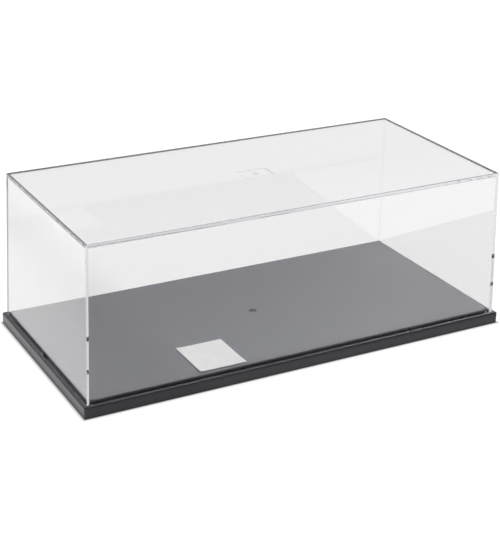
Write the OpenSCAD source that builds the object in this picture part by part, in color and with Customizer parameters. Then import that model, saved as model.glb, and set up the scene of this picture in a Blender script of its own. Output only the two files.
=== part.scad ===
// Model display case: a black moulded base and a clear moulded cover that lifts off it.
// Millimetres. The origin is on the table at the middle of the base, the front faces -Y, up is +Z.

/* [Base] */
// Length of the base along its front
base_l = 340; // [220:1:420]
// Depth of the base from front to back
base_w = 164; // [120:1:240]
// Height of the rim, from the table to its top
rim_h = 8.6; // [7.6:0.1:14]
// Wall thickness of the base moulding
base_wall = 2.2; // [1.6:0.1:3]
// Radius of the base's upright corners
rim_corner_r = 1.5; // [1.4:0.1:6]
// Radius along the rim's outer top edge
rim_edge_r = 1.2; // [0.2:0.1:1.3]
// Depth of the seat for the cover's foot, below the rim's top
seat_depth = 1.3; // [0.6:0.1:1.4]
// Clearance between the cover's foot and the outer side of the seat
seat_gap = 0.25; // [0.2:0.05:0.5]

/* [Platform] */
// Height of the platform above the rim's top
platform_h = 1.8; // [1.2:0.1:4]
// Radius of the platform's corners, seen from above
platform_corner_r = 5; // [2:0.5:10]
// Radius along the platform's top edge
platform_edge_r = 0.8; // [0.4:0.1:1.6]
// Diameter of the gate recess in the middle of the platform
gate_d = 6; // [3:0.5:10]
// Depth of the gate recess
gate_depth = 1; // [0.4:0.1:1.2]
// Diameter of the gate stub left in the recess
gate_stub_d = 1.6; // [0.8:0.1:2.4]
// Height of the gate stub
gate_stub_h = 0.5; // [0.2:0.1:0.8]

/* [Underside ribs] */
// Thickness of the ribs under the base
rib_t = 1.4; // [0.8:0.1:2]
// Widest cell between two ribs
rib_cell = 32; // [20:1:33]
// Distance from the table to the ribs' lower edge
rib_lift = 1; // [0.5:0.1:3]

/* [Cover] */
// Height of the cover from its foot to its top
cover_h = 113.2; // [60:0.1:160]
// Thickness of the cover's walls at right angles to them
cover_wall = 2; // [1.6:0.1:3]
// Thickness of the cover's top
cover_top = 3; // [2:0.1:4]
// Draft of the cover's walls in degrees
cover_draft = 1.9; // [0.5:0.1:3]
// Radius along the outer edge of the top
cover_edge_r = 0.5; // [0.1:0.05:0.6]
// Radius along the inner edge under the top
cover_inner_r = 0.4; // [0.4:0.1:2]
// Distance from the base's outer face to the cover's foot
ledge_w = 3.1; // [2.6:0.1:6]
// Clearance between the cover's foot and the platform
cover_gap = 0.9; // [0.4:0.1:1]
// Gap under the cover's foot, which touches its seat only at high spots
foot_gap = 0.1; // [0.05:0.05:0.3]

/* [Mark on the cover's top] */
// Length of the shallow rectangle in the middle of the top
mark_l = 23.4; // [10:0.2:40]
// Width of the shallow rectangle
mark_w = 15; // [8:0.2:30]
// Depth of the shallow rectangle
mark_depth = 0.4; // [0.2:0.05:0.6]
// Diameter of the gate stub in the rectangle
mark_stub_d = 2.4; // [1:0.1:4]
// Height of the gate stub in the rectangle
mark_stub_h = 0.25; // [0.1:0.05:0.5]

/* [Locating tabs] */
// Length of the tab under each end wall
tab_l = 10; // [6:0.5:20]
// How far a tab reaches below the cover's foot
tab_h = 5; // [3:0.1:5.5]
// How far a tab's faces stand back from the wall's faces
tab_step = 0.15; // [0.1:0.05:0.4]
// Lead-in chamfer at a tab's tip
tab_lead = 0.6; // [0.2:0.1:0.7]
// Clearance between a tab and its slot at the ends and on the platform's side
slot_gap = 0.4; // [0.3:0.05:0.5]
// Room between a tab and the outer side of its slot
slot_room = 1; // [0.4:0.1:1]

/* [Card] */
// Length of the card along the front
card_l = 36; // [20:1:90]
// Depth of the card
card_w = 40; // [20:1:60]
// Thickness of the card
card_t = 0.4; // [0.3:0.1:1]
// Distance from the platform's left edge to the card
card_from_left = 83.4; // [10:0.1:100]
// Distance from the platform's front edge to the card
card_from_front = 3.1; // [1.6:0.1:30]

/* [Hidden] */
$fn = 64;
over = 1;
cover_l = base_l - 2 * ledge_w;
cover_w = base_w - 2 * ledge_w;
platform_l = cover_l - 2 * (cover_wall + cover_gap);
platform_w = cover_w - 2 * (cover_wall + cover_gap);
platform_z = rim_h + platform_h;
seat_z = rim_h - seat_depth;
seat_l = cover_l + 2 * seat_gap;
seat_w = cover_w + 2 * seat_gap;
base_inner_l = base_l - 2 * base_wall;
base_inner_w = base_w - 2 * base_wall;
cells_x = odd_cells(base_inner_l);
cells_y = odd_cells(base_inner_w);
tab_t = cover_wall - 2 * tab_step;
tab_x = cover_l / 2 - tab_step;

// An odd count keeps a cell, and never a rib, behind each tab.
function odd_cells(span) = 2 * ceil((span / (rib_cell + rib_t) - 1) / 2) + 1;

// Upright profile that ends in a rounded top corner on its far side and stops at its near side, where it turns.
module rounded_step(run, h, edge_r) {
    square([run, h - edge_r]);
    square([run - edge_r, h]);
    intersection() {
        translate([run - edge_r, h - edge_r]) circle(edge_r);
        square([run, h]);
    }
}

// Slab with rounded corners and a rounded top edge: the profile runs along the sides and turns at each corner.
module rounded_slab(l, w, h, corner_r, edge_r) {
    inner_l = l - 2 * corner_r;
    inner_w = w - 2 * corner_r;
    translate([-inner_l / 2, -inner_w / 2, 0]) cube([inner_l, inner_w, h]);
    for (turn = [0, 180]) {
        rotate(turn) translate([inner_l / 2, 0, 0]) rotate([90, 0, 0])
            linear_extrude(inner_w, center = true) rounded_step(corner_r, h, edge_r);
        rotate(turn + 90) translate([inner_w / 2, 0, 0]) rotate([90, 0, 0])
            linear_extrude(inner_l, center = true) rounded_step(corner_r, h, edge_r);
        rotate(turn) translate([inner_l / 2, inner_w / 2, 0])
            rotate_extrude(angle = 90) rounded_step(corner_r, h, edge_r);
        rotate(turn + 90) translate([inner_w / 2, inner_l / 2, 0])
            rotate_extrude(angle = 90) rounded_step(corner_r, h, edge_r);
    }
}

// Everything that the underside leaves open, before the ribs are put back.
module underside_hollow() {
    translate([-base_inner_l / 2, -base_inner_w / 2, -over])
        cube([base_inner_l, base_inner_w, seat_z - base_wall + over]);
    step_l = platform_l - 2 * base_wall;
    step_w = platform_w - 2 * base_wall;
    translate([-step_l / 2, -step_w / 2, -over]) cube([step_l, step_w, platform_z - base_wall + over]);
}

module underside_ribs() {
    for (i = [1 : cells_x - 1])
        translate([i * base_inner_l / cells_x - base_inner_l / 2 - rib_t / 2, -base_w / 2, rib_lift])
            cube([rib_t, base_w, platform_z]);
    for (i = [1 : cells_y - 1])
        translate([-base_l / 2, i * base_inner_w / cells_y - base_inner_w / 2 - rib_t / 2, rib_lift])
            cube([base_l, rib_t, platform_z]);
}

// Slot through the seat for the tab on the +X end.
module tab_slot() {
    slot_w = tab_t + slot_gap + slot_room;
    slot_l = tab_l + 2 * slot_gap;
    translate([tab_x + slot_room - slot_w, -slot_l / 2, -over]) cube([slot_w, slot_l, rim_h + 2 * over]);
}

module base() {
    color("#1f1f22") {
        difference() {
            union() {
                difference() {
                    rounded_slab(base_l, base_w, rim_h, rim_corner_r, rim_edge_r);
                    translate([-seat_l / 2, -seat_w / 2, seat_z]) cube([seat_l, seat_w, seat_depth + over]);
                }
                rounded_slab(platform_l, platform_w, platform_z, platform_corner_r, platform_edge_r);
            }
            difference() {
                underside_hollow();
                underside_ribs();
            }
            for (turn = [0, 180]) rotate(turn) tab_slot();
            translate([0, 0, platform_z - gate_depth]) cylinder(h = gate_depth + over, d = gate_d);
        }
        translate([0, 0, platform_z - gate_depth - base_wall / 4])
            cylinder(h = base_wall / 4 + gate_stub_h, d = gate_stub_d);
    }
}

// Outline of a drafted block on the plane of its height, with its top corners rounded by top_r.
module drafted_outline(foot, h, top_r) {
    half_foot = foot / 2 + over * tan(cover_draft);
    centre_z = h - top_r;
    centre_x = foot / 2 - centre_z * tan(cover_draft) - top_r / cos(cover_draft);
    side_x = centre_x + top_r * cos(cover_draft);
    side_z = centre_z + top_r * sin(cover_draft);
    polygon([
        [-half_foot, -over], [half_foot, -over], [side_x, side_z],
        [centre_x, h], [-centre_x, h], [-side_x, side_z]
    ]);
    for (side = [-1, 1]) translate([side * centre_x, centre_z]) circle(top_r);
}

// Block whose four sides lean in by the draft. It starts one overlap below its foot, at the same slope.
module drafted_block(l, w, h, top_r) {
    intersection() {
        rotate([90, 0, 0]) linear_extrude(w + 4 * over, center = true) drafted_outline(l, h, top_r);
        rotate([90, 0, 90]) linear_extrude(l + 4 * over, center = true) drafted_outline(w, h, top_r);
    }
}

// Tab under the foot of the +X end wall, with a lead-in at its tip. It starts inside the wall.
module tab() {
    rotate([90, 0, 0]) linear_extrude(tab_l, center = true) polygon([
        [tab_x, over / 2], [tab_x - tab_t, over / 2], [tab_x - tab_t, tab_lead - tab_h],
        [tab_x - tab_t + tab_lead, -tab_h], [tab_x - tab_lead, -tab_h], [tab_x, tab_lead - tab_h]
    ]);
}

module cover() {
    inner_l = cover_l - 2 * cover_wall / cos(cover_draft);
    inner_w = cover_w - 2 * cover_wall / cos(cover_draft);
    color([0.93, 0.95, 0.97, 0.25]) translate([0, 0, seat_z + foot_gap]) {
        difference() {
            drafted_block(cover_l, cover_w, cover_h, cover_edge_r);
            drafted_block(inner_l, inner_w, cover_h - cover_top, cover_inner_r);
            translate([-cover_l, -cover_w, -2 * over]) cube([2 * cover_l, 2 * cover_w, 2 * over]);
            translate([-mark_l / 2, -mark_w / 2, cover_h - mark_depth]) cube([mark_l, mark_w, mark_depth + over]);
        }
        translate([0, 0, cover_h - mark_depth - cover_top / 4])
            cylinder(h = cover_top / 4 + mark_stub_h, d = mark_stub_d);
        for (turn = [0, 180]) rotate(turn) tab();
    }
}

module card() {
    color("#ebebea")
        translate([card_from_left - platform_l / 2, card_from_front - platform_w / 2, platform_z])
            cube([card_l, card_w, card_t]);
}

base();
cover();
card();
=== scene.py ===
import math

import bmesh
import bpy
from mathutils import Matrix, Vector


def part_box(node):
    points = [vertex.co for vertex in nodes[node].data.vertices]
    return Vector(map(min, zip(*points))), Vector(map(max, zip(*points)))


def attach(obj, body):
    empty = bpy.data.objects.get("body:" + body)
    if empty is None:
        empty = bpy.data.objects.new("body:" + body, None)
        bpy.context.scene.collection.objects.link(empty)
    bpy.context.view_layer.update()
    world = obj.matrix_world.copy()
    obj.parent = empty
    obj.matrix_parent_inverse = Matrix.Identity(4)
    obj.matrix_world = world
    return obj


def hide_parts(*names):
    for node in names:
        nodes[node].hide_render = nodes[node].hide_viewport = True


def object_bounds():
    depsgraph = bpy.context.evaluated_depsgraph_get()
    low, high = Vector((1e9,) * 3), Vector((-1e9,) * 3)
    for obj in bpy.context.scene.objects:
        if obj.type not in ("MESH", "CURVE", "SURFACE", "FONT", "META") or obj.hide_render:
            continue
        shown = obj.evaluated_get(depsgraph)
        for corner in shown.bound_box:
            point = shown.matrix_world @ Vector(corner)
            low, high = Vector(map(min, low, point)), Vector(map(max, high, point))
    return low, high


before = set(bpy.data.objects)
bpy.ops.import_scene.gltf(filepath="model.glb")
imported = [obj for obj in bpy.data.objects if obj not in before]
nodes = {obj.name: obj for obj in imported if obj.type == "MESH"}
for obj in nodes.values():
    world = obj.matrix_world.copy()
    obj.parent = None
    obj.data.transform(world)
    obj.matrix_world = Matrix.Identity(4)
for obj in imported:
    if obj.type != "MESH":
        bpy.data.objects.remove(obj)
cadLow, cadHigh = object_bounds()
scene = bpy.context.scene
print("frame loaded:", ", ".join(sorted(nodes)))


# camera, in metres and degrees; azimuth 0 looks along +Y
viewpoint = {
    "aim": (-0.00278, 0.0, 0.04489),
    "azimuth": -29.05,
    "elevation": 23.49,
    "distance": 1.0129,
    "roll": 1.42,
    "lens": 90.5,
    "sensor": 36.0,
}


def addCamera(look):
    turn, rise = math.radians(look["azimuth"]), math.radians(look["elevation"])
    back = Vector((math.sin(turn) * math.cos(rise), -math.cos(turn) * math.cos(rise), math.sin(rise)))
    data = bpy.data.cameras.new("camera")
    data.lens = look["lens"]
    data.sensor_width = look["sensor"]
    camera = bpy.data.objects.new("camera", data)
    level = (-back).to_track_quat("-Z", "Y").to_matrix().to_4x4()
    roll = Matrix.Rotation(math.radians(look["roll"]), 4, "Z")
    camera.matrix_world = Matrix.Translation(Vector(look["aim"]) + back * look["distance"]) @ level @ roll
    scene.collection.objects.link(camera)
    scene.camera = camera


addCamera(viewpoint)
print("camera set")


# small helpers for node trees
def newMaterial(name):
    material = bpy.data.materials.new(name)
    material.use_nodes = True
    tree = material.node_tree
    tree.nodes.clear()
    return material, tree


def addNode(tree, kind, inputs=None, **settings):
    node = tree.nodes.new(kind)
    for key, value in settings.items():
        setattr(node, key, value)
    for key, value in (inputs or {}).items():
        node.inputs[key].default_value = value
    return node


def paint(piece, *materials):
    piece.data.materials.clear()
    for material in materials:
        piece.data.materials.append(material)


# studio: pale floor, white wall behind that fades upward, a soft lamp overhead and a soft box on the right
studio = {
    "floorSize": 8.0,
    "floorColour": (0.25, 0.25, 0.25, 1.0),
    "nearGlow": 0.94,  # white that the floor shows beside its lit paper, near the case
    "farGlow": 1.0,
    "farStart": 0.35,
    "farEnd": 0.8,
    # width of the painted contact shade, where the floor's glow fades out beside the case
    "contactShadeWidth": 0.003,
    "throughGlow": 0.8,  # the same, seen in the gloss of the base and through the cover
    "frontShade": 0.7,  # the case's own shade: a strip before it, the corner on its left, the paper behind it
    "frontPlace": -0.0985,
    "frontWidth": 0.0065,
    "cornerShade": 0.19,
    "cornerStart": 0.05,
    "cornerEnd": 0.1,
    "behindShade": 0.05,
    "behindStart": 0.2,
    "behindEnd": 0.32,
    "leftGlow": 1.06,  # light that falls on the paper left of the case
    "leftStart": 0.14,
    "leftEnd": 0.183,
    "leftFar": 0.88,  # its share farther to the left, and farther back
    "leftFarStart": 0.2,
    "leftFarEnd": 0.26,
    "leftBack": 0.87,
    "leftBackStart": 0.2,
    "leftBackEnd": 0.32,
    "roomColour": (1.0, 1.0, 1.0, 1.0),
    "wallLow": 0.79,
    "darkSide": 0.12,
    "brightSide": (-0.3, 0.954, 0.0),
    "sideStart": -0.25,
    "sideEnd": 0.35,
    "overhead": 0.35,
    "wallTop": 0.62,  # sine of the height at which the white wall starts to darken
    "ceiling": 1.0,
    "lampAim": (0.0, 0.0, 0.05),
    "lampPlace": (0.35, 0.45, 1.2),
    "lampSize": (1.0, 1.0),
    "lampPower": 4.8,
    "boxPlace": (1.36, 0.95, 0.76),  # soft box behind the case on the right, which the platform's gloss shows
    "boxSize": (1.2, 0.6),
    "boxPower": 2.4,
    "bounces": 400,  # the clear walls pass light on many times
}


def smoothRamp(tree, source, low, high, toLow, toHigh):
    ramp = addNode(tree, "ShaderNodeMapRange", {"From Min": low, "From Max": high, "To Min": toLow,
                                               "To Max": toHigh}, interpolation_type="SMOOTHSTEP")
    tree.links.new(source, ramp.inputs["Value"])
    return ramp.outputs[0]


def combine(tree, operation, first, second):
    node = addNode(tree, "ShaderNodeMath", operation=operation)
    for socket, value in zip(node.inputs, (first, second)):
        if isinstance(value, (int, float)):
            socket.default_value = value
        else:
            tree.links.new(value, socket)
    return node.outputs[0]


def addFloor(look):
    mesh = bpy.data.meshes.new("floor")
    shape = bmesh.new()
    bmesh.ops.create_grid(shape, x_segments=1, y_segments=1, size=look["floorSize"] / 2)
    shape.to_mesh(mesh)
    shape.free()
    floor = bpy.data.objects.new("floor", mesh)
    scene.collection.objects.link(floor)
    material, tree = newMaterial("paleFloor")
    rays = addNode(tree, "ShaderNodeLightPath").outputs
    place = addNode(tree, "ShaderNodeTexCoord").outputs["Object"]
    xyz = addNode(tree, "ShaderNodeSeparateXYZ")
    reach = addNode(tree, "ShaderNodeVectorMath", operation="LENGTH")
    tree.links.new(place, xyz.inputs[0])
    tree.links.new(place, reach.inputs[0])
    across, along = xyz.outputs["X"], xyz.outputs["Y"]
    direct = smoothRamp(tree, reach.outputs["Value"], look["farStart"], look["farEnd"], look["nearGlow"],
                        look["farGlow"])
    toLeft = combine(tree, "MULTIPLY", across, -1.0)
    before = combine(tree, "ABSOLUTE", combine(tree, "SUBTRACT", along, look["frontPlace"]), 0.0)
    before = smoothRamp(tree, before, 0.0, look["frontWidth"], look["frontShade"], 0.0)
    before = combine(tree, "MULTIPLY", before, combine(tree, "MINIMUM", rays["Glossy Depth"], 1.0))
    corner = smoothRamp(tree, toLeft, look["cornerStart"], look["cornerEnd"], 0.0, look["cornerShade"])
    behind = smoothRamp(tree, along, look["behindStart"], look["behindEnd"], 0.0, look["behindShade"])
    shade = combine(tree, "MAXIMUM", before, combine(tree, "MAXIMUM", corner, behind))
    through = combine(tree, "MULTIPLY", combine(tree, "SUBTRACT", 1.0, shade), look["throughGlow"])
    left = smoothRamp(tree, toLeft, look["leftStart"], look["leftEnd"], 0.0, look["leftGlow"])
    for source, fade in ((toLeft, "leftFar"), (along, "leftBack")):
        share = smoothRamp(tree, source, look[fade + "Start"], look[fade + "End"], 1.0, look[fade])
        left = combine(tree, "MULTIPLY", left, share)
    through = combine(tree, "MAXIMUM", through, left)
    glowLevel = addNode(tree, "ShaderNodeMix", data_type="FLOAT")
    tree.links.new(rays["Is Camera Ray"], glowLevel.inputs[0])
    tree.links.new(through, glowLevel.inputs[2])
    tree.links.new(direct, glowLevel.inputs[3])
    # painted contact shade: the floor's glow fades in over a few millimetres around the edge of the case's
    # footprint and is off beneath it
    acrossX = combine(tree, "SUBTRACT", combine(tree, "ABSOLUTE", across, 0.0), cadHigh.x)
    acrossY = combine(tree, "SUBTRACT", combine(tree, "ABSOLUTE", along, 0.0), cadHigh.y)
    beside = smoothRamp(tree, combine(tree, "MAXIMUM", acrossX, acrossY), -look["contactShadeWidth"] / 2,
                        look["contactShadeWidth"], 0.0, 1.0)
    seen = combine(tree, "MAXIMUM", rays["Is Camera Ray"], rays["Is Glossy Ray"])
    seen = combine(tree, "MAXIMUM", seen, rays["Is Transmission Ray"])
    strength = combine(tree, "MULTIPLY", combine(tree, "MULTIPLY", seen, beside), glowLevel.outputs[0])
    paper = addNode(tree, "ShaderNodeBsdfDiffuse", {"Color": look["floorColour"]})
    glow = addNode(tree, "ShaderNodeEmission")
    both = addNode(tree, "ShaderNodeAddShader")
    out = addNode(tree, "ShaderNodeOutputMaterial")
    tree.links.new(strength, glow.inputs["Strength"])
    tree.links.new(paper.outputs[0], both.inputs[0])
    tree.links.new(glow.outputs[0], both.inputs[1])
    tree.links.new(both.outputs[0], out.inputs["Surface"])
    paint(floor, material)


def addRoom(look):
    world = bpy.data.worlds.new("room")
    scene.world = world
    world.use_nodes = True
    tree = world.node_tree
    tree.nodes.clear()
    toward = addNode(tree, "ShaderNodeTexCoord")
    xyz = addNode(tree, "ShaderNodeSeparateXYZ")
    tree.links.new(toward.outputs["Generated"], xyz.inputs[0])
    height = smoothRamp(tree, xyz.outputs["Z"], look["wallTop"], look["ceiling"], 1.0, 0.0)
    facing = addNode(tree, "ShaderNodeVectorMath", {1: look["brightSide"]}, operation="DOT_PRODUCT")
    tree.links.new(toward.outputs["Generated"], facing.inputs[0])
    behind = smoothRamp(tree, facing.outputs["Value"], look["sideStart"], look["sideEnd"], look["darkSide"], 1.0)
    wall = combine(tree, "MULTIPLY", combine(tree, "MULTIPLY", height, behind), look["wallLow"])
    level = combine(tree, "MAXIMUM", wall, look["overhead"])
    rays = addNode(tree, "ShaderNodeLightPath").outputs
    level = combine(tree, "MAXIMUM", level, rays["Is Camera Ray"])  # plain white beyond the floor's edge
    sky = addNode(tree, "ShaderNodeBackground", {"Color": look["roomColour"]})
    out = addNode(tree, "ShaderNodeOutputWorld")
    tree.links.new(level, sky.inputs["Strength"])
    tree.links.new(sky.outputs[0], out.inputs["Surface"])
    world.cycles.sampling_method = "NONE"


def addLamp(name, look, kind):
    data = bpy.data.lights.new(name, "AREA")
    data.shape = "RECTANGLE"
    data.size, data.size_y = look[kind + "Size"]
    data.energy = look[kind + "Power"]
    data.cycles.use_multiple_importance_sampling = False
    lamp = bpy.data.objects.new(name, data)
    place = Vector(look[kind + "Place"])
    aim = Vector(look["lampAim"]) - place
    lamp.matrix_world = Matrix.Translation(place) @ aim.to_track_quat("-Z", "Y").to_matrix().to_4x4()
    scene.collection.objects.link(lamp)


addFloor(studio)
addRoom(studio)
addLamp("softLamp", studio, "lamp")
addLamp("softBox", studio, "box")
scene.view_settings.view_transform = "Standard"
scene.cycles.max_bounces = studio["bounces"]
scene.cycles.transmission_bounces = studio["bounces"]
scene.cycles.glossy_bounces = studio["bounces"]
print("studio set")


# black moulded base
blackPlastic = {
    "rimColour": (0.029, 0.0275, 0.042, 1.0),
    "platformColour": (0.076, 0.078, 0.102, 1.0),
    "ior": 1.55,
    "rimRoughness": 0.25,
    "platformRoughness": 0.38,
    "skinDepth": 0.0004,
    "grainScale": 2600.0,  # grain of the mould, about 0.4 mm
    "grainDepth": 0.000008,
    "rimGrain": 0.15,  # the rim is smoother than the platform
    "patchScale": 14.0,  # broad changes of gloss
    "patchDetail": 3.0,
    "patchLow": 0.2,
    "patchHigh": 0.8,
    "patchGloss": 0.07,
    "patchShade": 0.08,
    "rubLength": 0.05,  # thin marks from handling
    "rubWidth": 0.0009,
    "rubTurns": (24.0, -52.0),
    "rubStart": 0.66,
    "rubEnd": 0.76,
    "rubGloss": 0.05,
}


def addNoise(tree, place, scale, detail=2.0):
    node = addNode(tree, "ShaderNodeTexNoise", {"Scale": scale, "Detail": detail})
    tree.links.new(place, node.inputs["Vector"])
    return node.outputs[0]


def addRubMarks(tree, place, look):
    marks = None
    for turn in look["rubTurns"]:
        stretch = addNode(tree, "ShaderNodeMapping", {
            "Rotation": (0.0, 0.0, math.radians(turn)),
            "Scale": (look["rubLength"], look["rubWidth"], look["rubLength"])}, vector_type="TEXTURE")
        tree.links.new(place, stretch.inputs["Vector"])
        lines = smoothRamp(tree, addNoise(tree, stretch.outputs[0], 1.0, 0.0), look["rubStart"], look["rubEnd"],
                           0.0, 1.0)
        marks = lines if marks is None else combine(tree, "MAXIMUM", marks, lines)
    return marks


def makeBlackPlastic(look):
    material, tree = newMaterial("blackMoulding")
    place = addNode(tree, "ShaderNodeTexCoord").outputs["Object"]
    xyz = addNode(tree, "ShaderNodeSeparateXYZ")
    tree.links.new(place, xyz.inputs[0])
    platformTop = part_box("base")[1].z
    onPlatform = smoothRamp(tree, xyz.outputs["Z"], platformTop - 2 * look["skinDepth"],
                            platformTop - look["skinDepth"], 0.0, 1.0)
    patches = addNoise(tree, place, look["patchScale"], look["patchDetail"])
    marks = addRubMarks(tree, place, look)
    colour = addNode(tree, "ShaderNodeMix", {6: look["rimColour"], 7: look["platformColour"]}, data_type="RGBA")
    tree.links.new(onPlatform, colour.inputs[0])
    shaded = addNode(tree, "ShaderNodeMix", {0: 1.0}, data_type="RGBA", blend_type="MULTIPLY")
    shade = smoothRamp(tree, patches, look["patchLow"], look["patchHigh"], 1.0 - look["patchShade"] / 2,
                       1.0 + look["patchShade"] / 2)
    tree.links.new(colour.outputs[2], shaded.inputs[6])
    tree.links.new(shade, shaded.inputs[7])
    gloss = smoothRamp(tree, patches, look["patchLow"], look["patchHigh"], -look["patchGloss"] / 2,
                       look["patchGloss"] / 2)
    roughness = combine(tree, "ADD", gloss, smoothRamp(tree, onPlatform, 0.0, 1.0, look["rimRoughness"],
                                                       look["platformRoughness"]))
    rubbed = combine(tree, "MULTIPLY", combine(tree, "MULTIPLY", marks, onPlatform), look["rubGloss"])
    roughness = combine(tree, "ADD", roughness, rubbed)
    grain = combine(tree, "MULTIPLY", addNoise(tree, place, look["grainScale"]),
                    smoothRamp(tree, onPlatform, 0.0, 1.0, look["rimGrain"], 1.0))
    bump = addNode(tree, "ShaderNodeBump", {"Distance": look["grainDepth"]})
    tree.links.new(grain, bump.inputs["Height"])
    skin = addNode(tree, "ShaderNodeBsdfPrincipled", {"IOR": look["ior"]})
    out = addNode(tree, "ShaderNodeOutputMaterial")
    tree.links.new(roughness, skin.inputs["Roughness"])
    tree.links.new(shaded.outputs[2], skin.inputs["Base Color"])
    tree.links.new(bump.outputs[0], skin.inputs["Normal"])
    tree.links.new(skin.outputs[0], out.inputs["Surface"])
    return material


paint(nodes["base"], makeBlackPlastic(blackPlastic))
print("base finished")


# clear moulded cover
clearPlastic = {
    "colour": (0.97, 0.97, 0.97, 1.0),
    "lampTint": (0.94, 0.94, 0.94, 1.0),
    "ior": 1.59,
    "absorbColour": (0.72, 0.7, 0.78, 1.0),
    "absorbDensity": 3.2,
    "flowScale": 11.0,  # slow waves left by the flow of the plastic
    "flowDetail": 1.0,
    "flowDepth": 0.00002,
    "rubLength": 0.03,
    "rubWidth": 0.0007,
    "rubTurns": (12.0, 71.0),
    "rubStart": 0.74,
    "rubEnd": 0.82,
    "rubGloss": 0.05,
    "markHalf": (0.0117, 0.0075),  # half the size of the rectangle in the solid
    # the grey tint along the rectangle's outline is painted shade of its edges; the cloud is a darker patch round
    # the gate
    "markLine": 0.0008,
    "markCloud": 0.006,
    "markCloudShade": 0.8,
    "markShade": 0.33,
    "markShadeColour": (0.2, 0.2, 0.2, 1.0),
    "markDeep": 0.0012,  # the mark's tint starts this far below the top
    "markFull": 0.0006,
}


# painted shade along the edges of the shallow rectangle on the top, left by the insert in the mould, and a darker
# cloud around its gate
def addGateMarkShade(tree, place, look):
    xyz = addNode(tree, "ShaderNodeSeparateXYZ")
    tree.links.new(place, xyz.inputs[0])
    outX = combine(tree, "SUBTRACT", combine(tree, "ABSOLUTE", xyz.outputs["X"], 0.0), look["markHalf"][0])
    outY = combine(tree, "SUBTRACT", combine(tree, "ABSOLUTE", xyz.outputs["Y"], 0.0), look["markHalf"][1])
    away = combine(tree, "ABSOLUTE", combine(tree, "MAXIMUM", outX, outY), 0.0)
    line = smoothRamp(tree, away, 0.0, look["markLine"], 1.0, 0.0)
    flat = addNode(tree, "ShaderNodeVectorMath", {1: (1.0, 1.0, 0.0)}, operation="MULTIPLY")
    tree.links.new(place, flat.inputs[0])
    reach = addNode(tree, "ShaderNodeVectorMath", operation="LENGTH")
    tree.links.new(flat.outputs[0], reach.inputs[0])
    cloud = smoothRamp(tree, reach.outputs["Value"], 0.0, look["markCloud"], look["markCloudShade"], 0.0)
    top = smoothRamp(tree, xyz.outputs["Z"], cadHigh.z - look["markDeep"], cadHigh.z - look["markFull"], 0.0,
                     look["markShade"])
    return combine(tree, "MULTIPLY", combine(tree, "MAXIMUM", line, cloud), top)


def makeClearPlastic(look):
    material, tree = newMaterial("clearMoulding")
    rays = addNode(tree, "ShaderNodeLightPath")
    place = addNode(tree, "ShaderNodeTexCoord").outputs["Object"]
    clear = addNode(tree, "ShaderNodeBsdfPrincipled", {"IOR": look["ior"], "Transmission Weight": 1.0})
    # the base colour turns grey with the painted shade along the top's rectangle and the darker cloud at its gate
    tint = addNode(tree, "ShaderNodeMix", {6: look["colour"], 7: look["markShadeColour"]}, data_type="RGBA")
    tree.links.new(addGateMarkShade(tree, place, look), tint.inputs[0])
    tree.links.new(tint.outputs[2], clear.inputs["Base Color"])
    tree.links.new(combine(tree, "MULTIPLY", addRubMarks(tree, place, look), look["rubGloss"]),
                   clear.inputs["Roughness"])
    waves = addNode(tree, "ShaderNodeBump", {"Distance": look["flowDepth"]})
    tree.links.new(addNoise(tree, place, look["flowScale"], look["flowDetail"]), waves.inputs["Height"])
    tree.links.new(waves.outputs[0], clear.inputs["Normal"])
    lampSide = addNode(tree, "ShaderNodeBsdfTransparent", {"Color": look["lampTint"]})
    choose = addNode(tree, "ShaderNodeMixShader")
    out = addNode(tree, "ShaderNodeOutputMaterial")
    tree.links.new(rays.outputs["Is Shadow Ray"], choose.inputs["Fac"])
    tree.links.new(clear.outputs[0], choose.inputs[1])
    tree.links.new(lampSide.outputs[0], choose.inputs[2])
    tree.links.new(choose.outputs[0], out.inputs["Surface"])
    depth = addNode(tree, "ShaderNodeVolumeAbsorption", {"Color": look["absorbColour"],
                                                        "Density": look["absorbDensity"]})
    tree.links.new(depth.outputs[0], out.inputs["Volume"])
    return material


paint(nodes["cover"], makeClearPlastic(clearPlastic))
print("cover finished")


# blank card, cut from heavy paper; its left and front edges curl up a little
cardPaper = {
    "thickness": 0.00036,
    "cells": 24,
    "curl": 0.0005,
    "frontCurl": 0.8,  # the front edge's share of the left edge's curl
    "curlStart": 0.35,  # share of the half size that lies flat
    "colour": (0.82, 0.82, 0.82, 1.0),
    "cloudColour": (0.79, 0.79, 0.785, 1.0),
    "cloudScale": 160.0,
    "cloudDetail": 5.0,
    "cloudLow": 0.35,
    "cloudHigh": 0.65,
    "fibreScale": 2200.0,
    "fibreDetail": 4.0,
    "fibreLow": 0.3,
    "fibreHigh": 0.7,
    "fibreDepth": 0.00001,
    "roughLow": 0.55,
    "roughHigh": 0.7,
}


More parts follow.
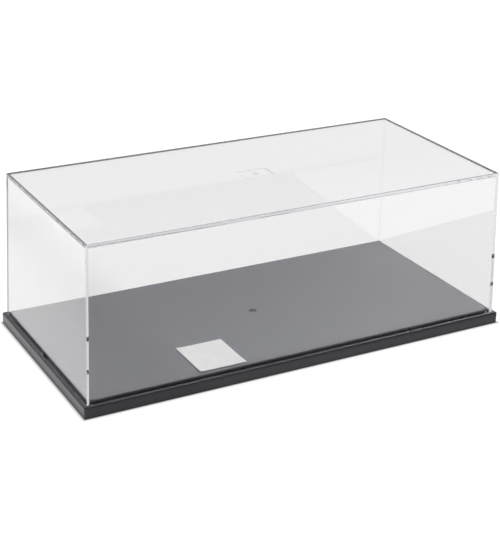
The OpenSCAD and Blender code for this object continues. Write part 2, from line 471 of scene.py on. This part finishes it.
def makeCardPaper(look):
    material, tree = newMaterial("cardPaper")
    place = addNode(tree, "ShaderNodeTexCoord").outputs["Object"]
    fibres = addNoise(tree, place, look["fibreScale"], look["fibreDetail"])
    colour = addNode(tree, "ShaderNodeMix", {6: look["colour"], 7: look["cloudColour"]}, data_type="RGBA")
    clouds = smoothRamp(tree, addNoise(tree, place, look["cloudScale"], look["cloudDetail"]), look["cloudLow"],
                        look["cloudHigh"], 0.0, 1.0)
    bump = addNode(tree, "ShaderNodeBump", {"Distance": look["fibreDepth"]})
    paper = addNode(tree, "ShaderNodeBsdfPrincipled")
    out = addNode(tree, "ShaderNodeOutputMaterial")
    tree.links.new(clouds, colour.inputs[0])
    tree.links.new(fibres, bump.inputs["Height"])
    tree.links.new(colour.outputs[2], paper.inputs["Base Color"])
    roughness = smoothRamp(tree, fibres, look["fibreLow"], look["fibreHigh"], look["roughLow"], look["roughHigh"])
    tree.links.new(roughness, paper.inputs["Roughness"])
    tree.links.new(bump.outputs[0], paper.inputs["Normal"])
    tree.links.new(paper.outputs[0], out.inputs["Surface"])
    return material


def addCard(look):
    low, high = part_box("card")
    half = (high - low) / 2
    shape = bmesh.new()
    bmesh.ops.create_grid(shape, x_segments=look["cells"], y_segments=look["cells"], size=1.0)
    for vert in shape.verts:
        curled = [max(0.0, -side - look["curlStart"]) / (1.0 - look["curlStart"]) for side in vert.co.xy]
        lift = look["curl"] * (curled[0] ** 2 + look["frontCurl"] * curled[1] ** 2)
        vert.co = ((low.x + half.x) + vert.co.x * half.x, (low.y + half.y) + vert.co.y * half.y,
                   low.z + look["thickness"] + lift)
    bmesh.ops.solidify(shape, geom=shape.faces[:], thickness=look["thickness"])
    bmesh.ops.recalc_face_normals(shape, faces=shape.faces[:])
    mesh = bpy.data.meshes.new("blankCard")
    shape.to_mesh(mesh)
    shape.free()
    card = bpy.data.objects.new("blankCard", mesh)
    scene.collection.objects.link(card)
    paint(card, makeCardPaper(look))
    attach(card, "base_body")
    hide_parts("card")


addCard(cardPaper)
print("card finished")
